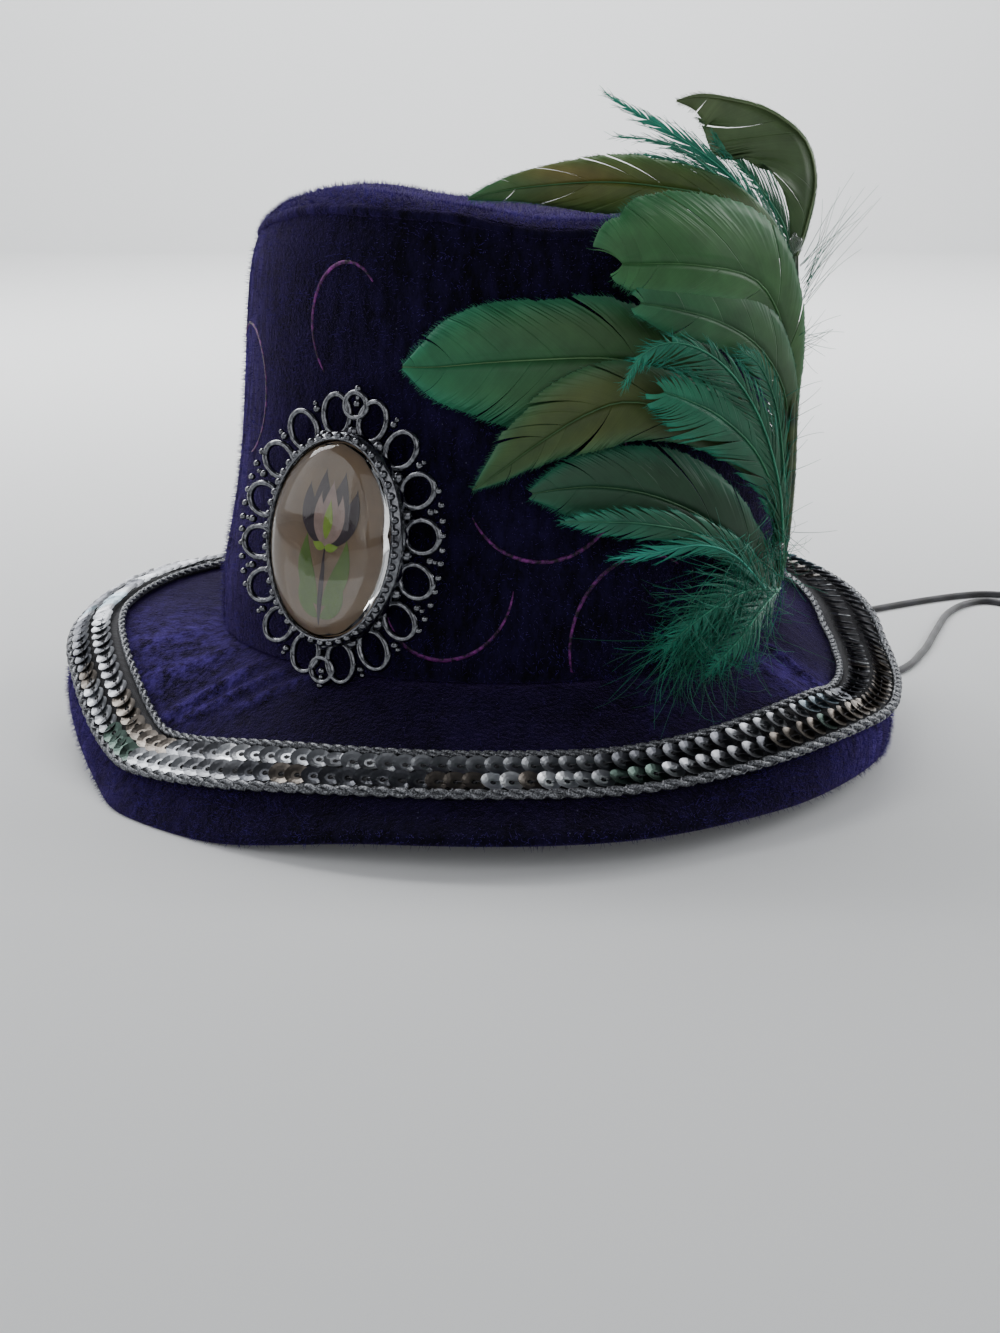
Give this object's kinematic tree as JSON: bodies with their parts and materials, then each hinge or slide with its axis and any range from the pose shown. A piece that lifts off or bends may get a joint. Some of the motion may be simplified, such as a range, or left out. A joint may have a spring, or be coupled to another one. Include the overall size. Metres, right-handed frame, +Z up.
{
  "type": "mini top hat",
  "caption": "Small tapered velvet top hat with a curved brim, a sequin and gimp trim, an oval glass brooch, a plume of dyed feathers and an elastic chin loop",
  "frame": {"origin": "middle of the hat seen from above, without its loose elastic, at the height of the table it rests on", "axes": "+Z up along the crown, +Y to the back of the hat, +X to the side that carries the plume"},
  "size_m": [0.2664, 0.2403, 0.1464],
  "materials": {
    "velvet": "deep indigo pile velvet over stiff buckram",
    "sequin_gimp": "metallised cup sequins between grey metallic gimp braid",
    "gunmetal": "black nickel plated casting",
    "printed_card": "printed card",
    "clear_glass": "clear polished glass dome",
    "dyed_feather": "feathers dyed green and olive",
    "elastic_cord": "smooth dark braided elastic"
  },
  "bodies": {
    "root": {"brim": "velvet", "crown_side": "velvet", "crown_tip": "velvet", "sequin_trim": "sequin_gimp", "brooch_frame": "gunmetal", "brooch_picture": "printed_card", "brooch_cabochon": "clear_glass", "plume": "dyed_feather", "chin_elastic": "elastic_cord"}
  },
  "joints": []
}
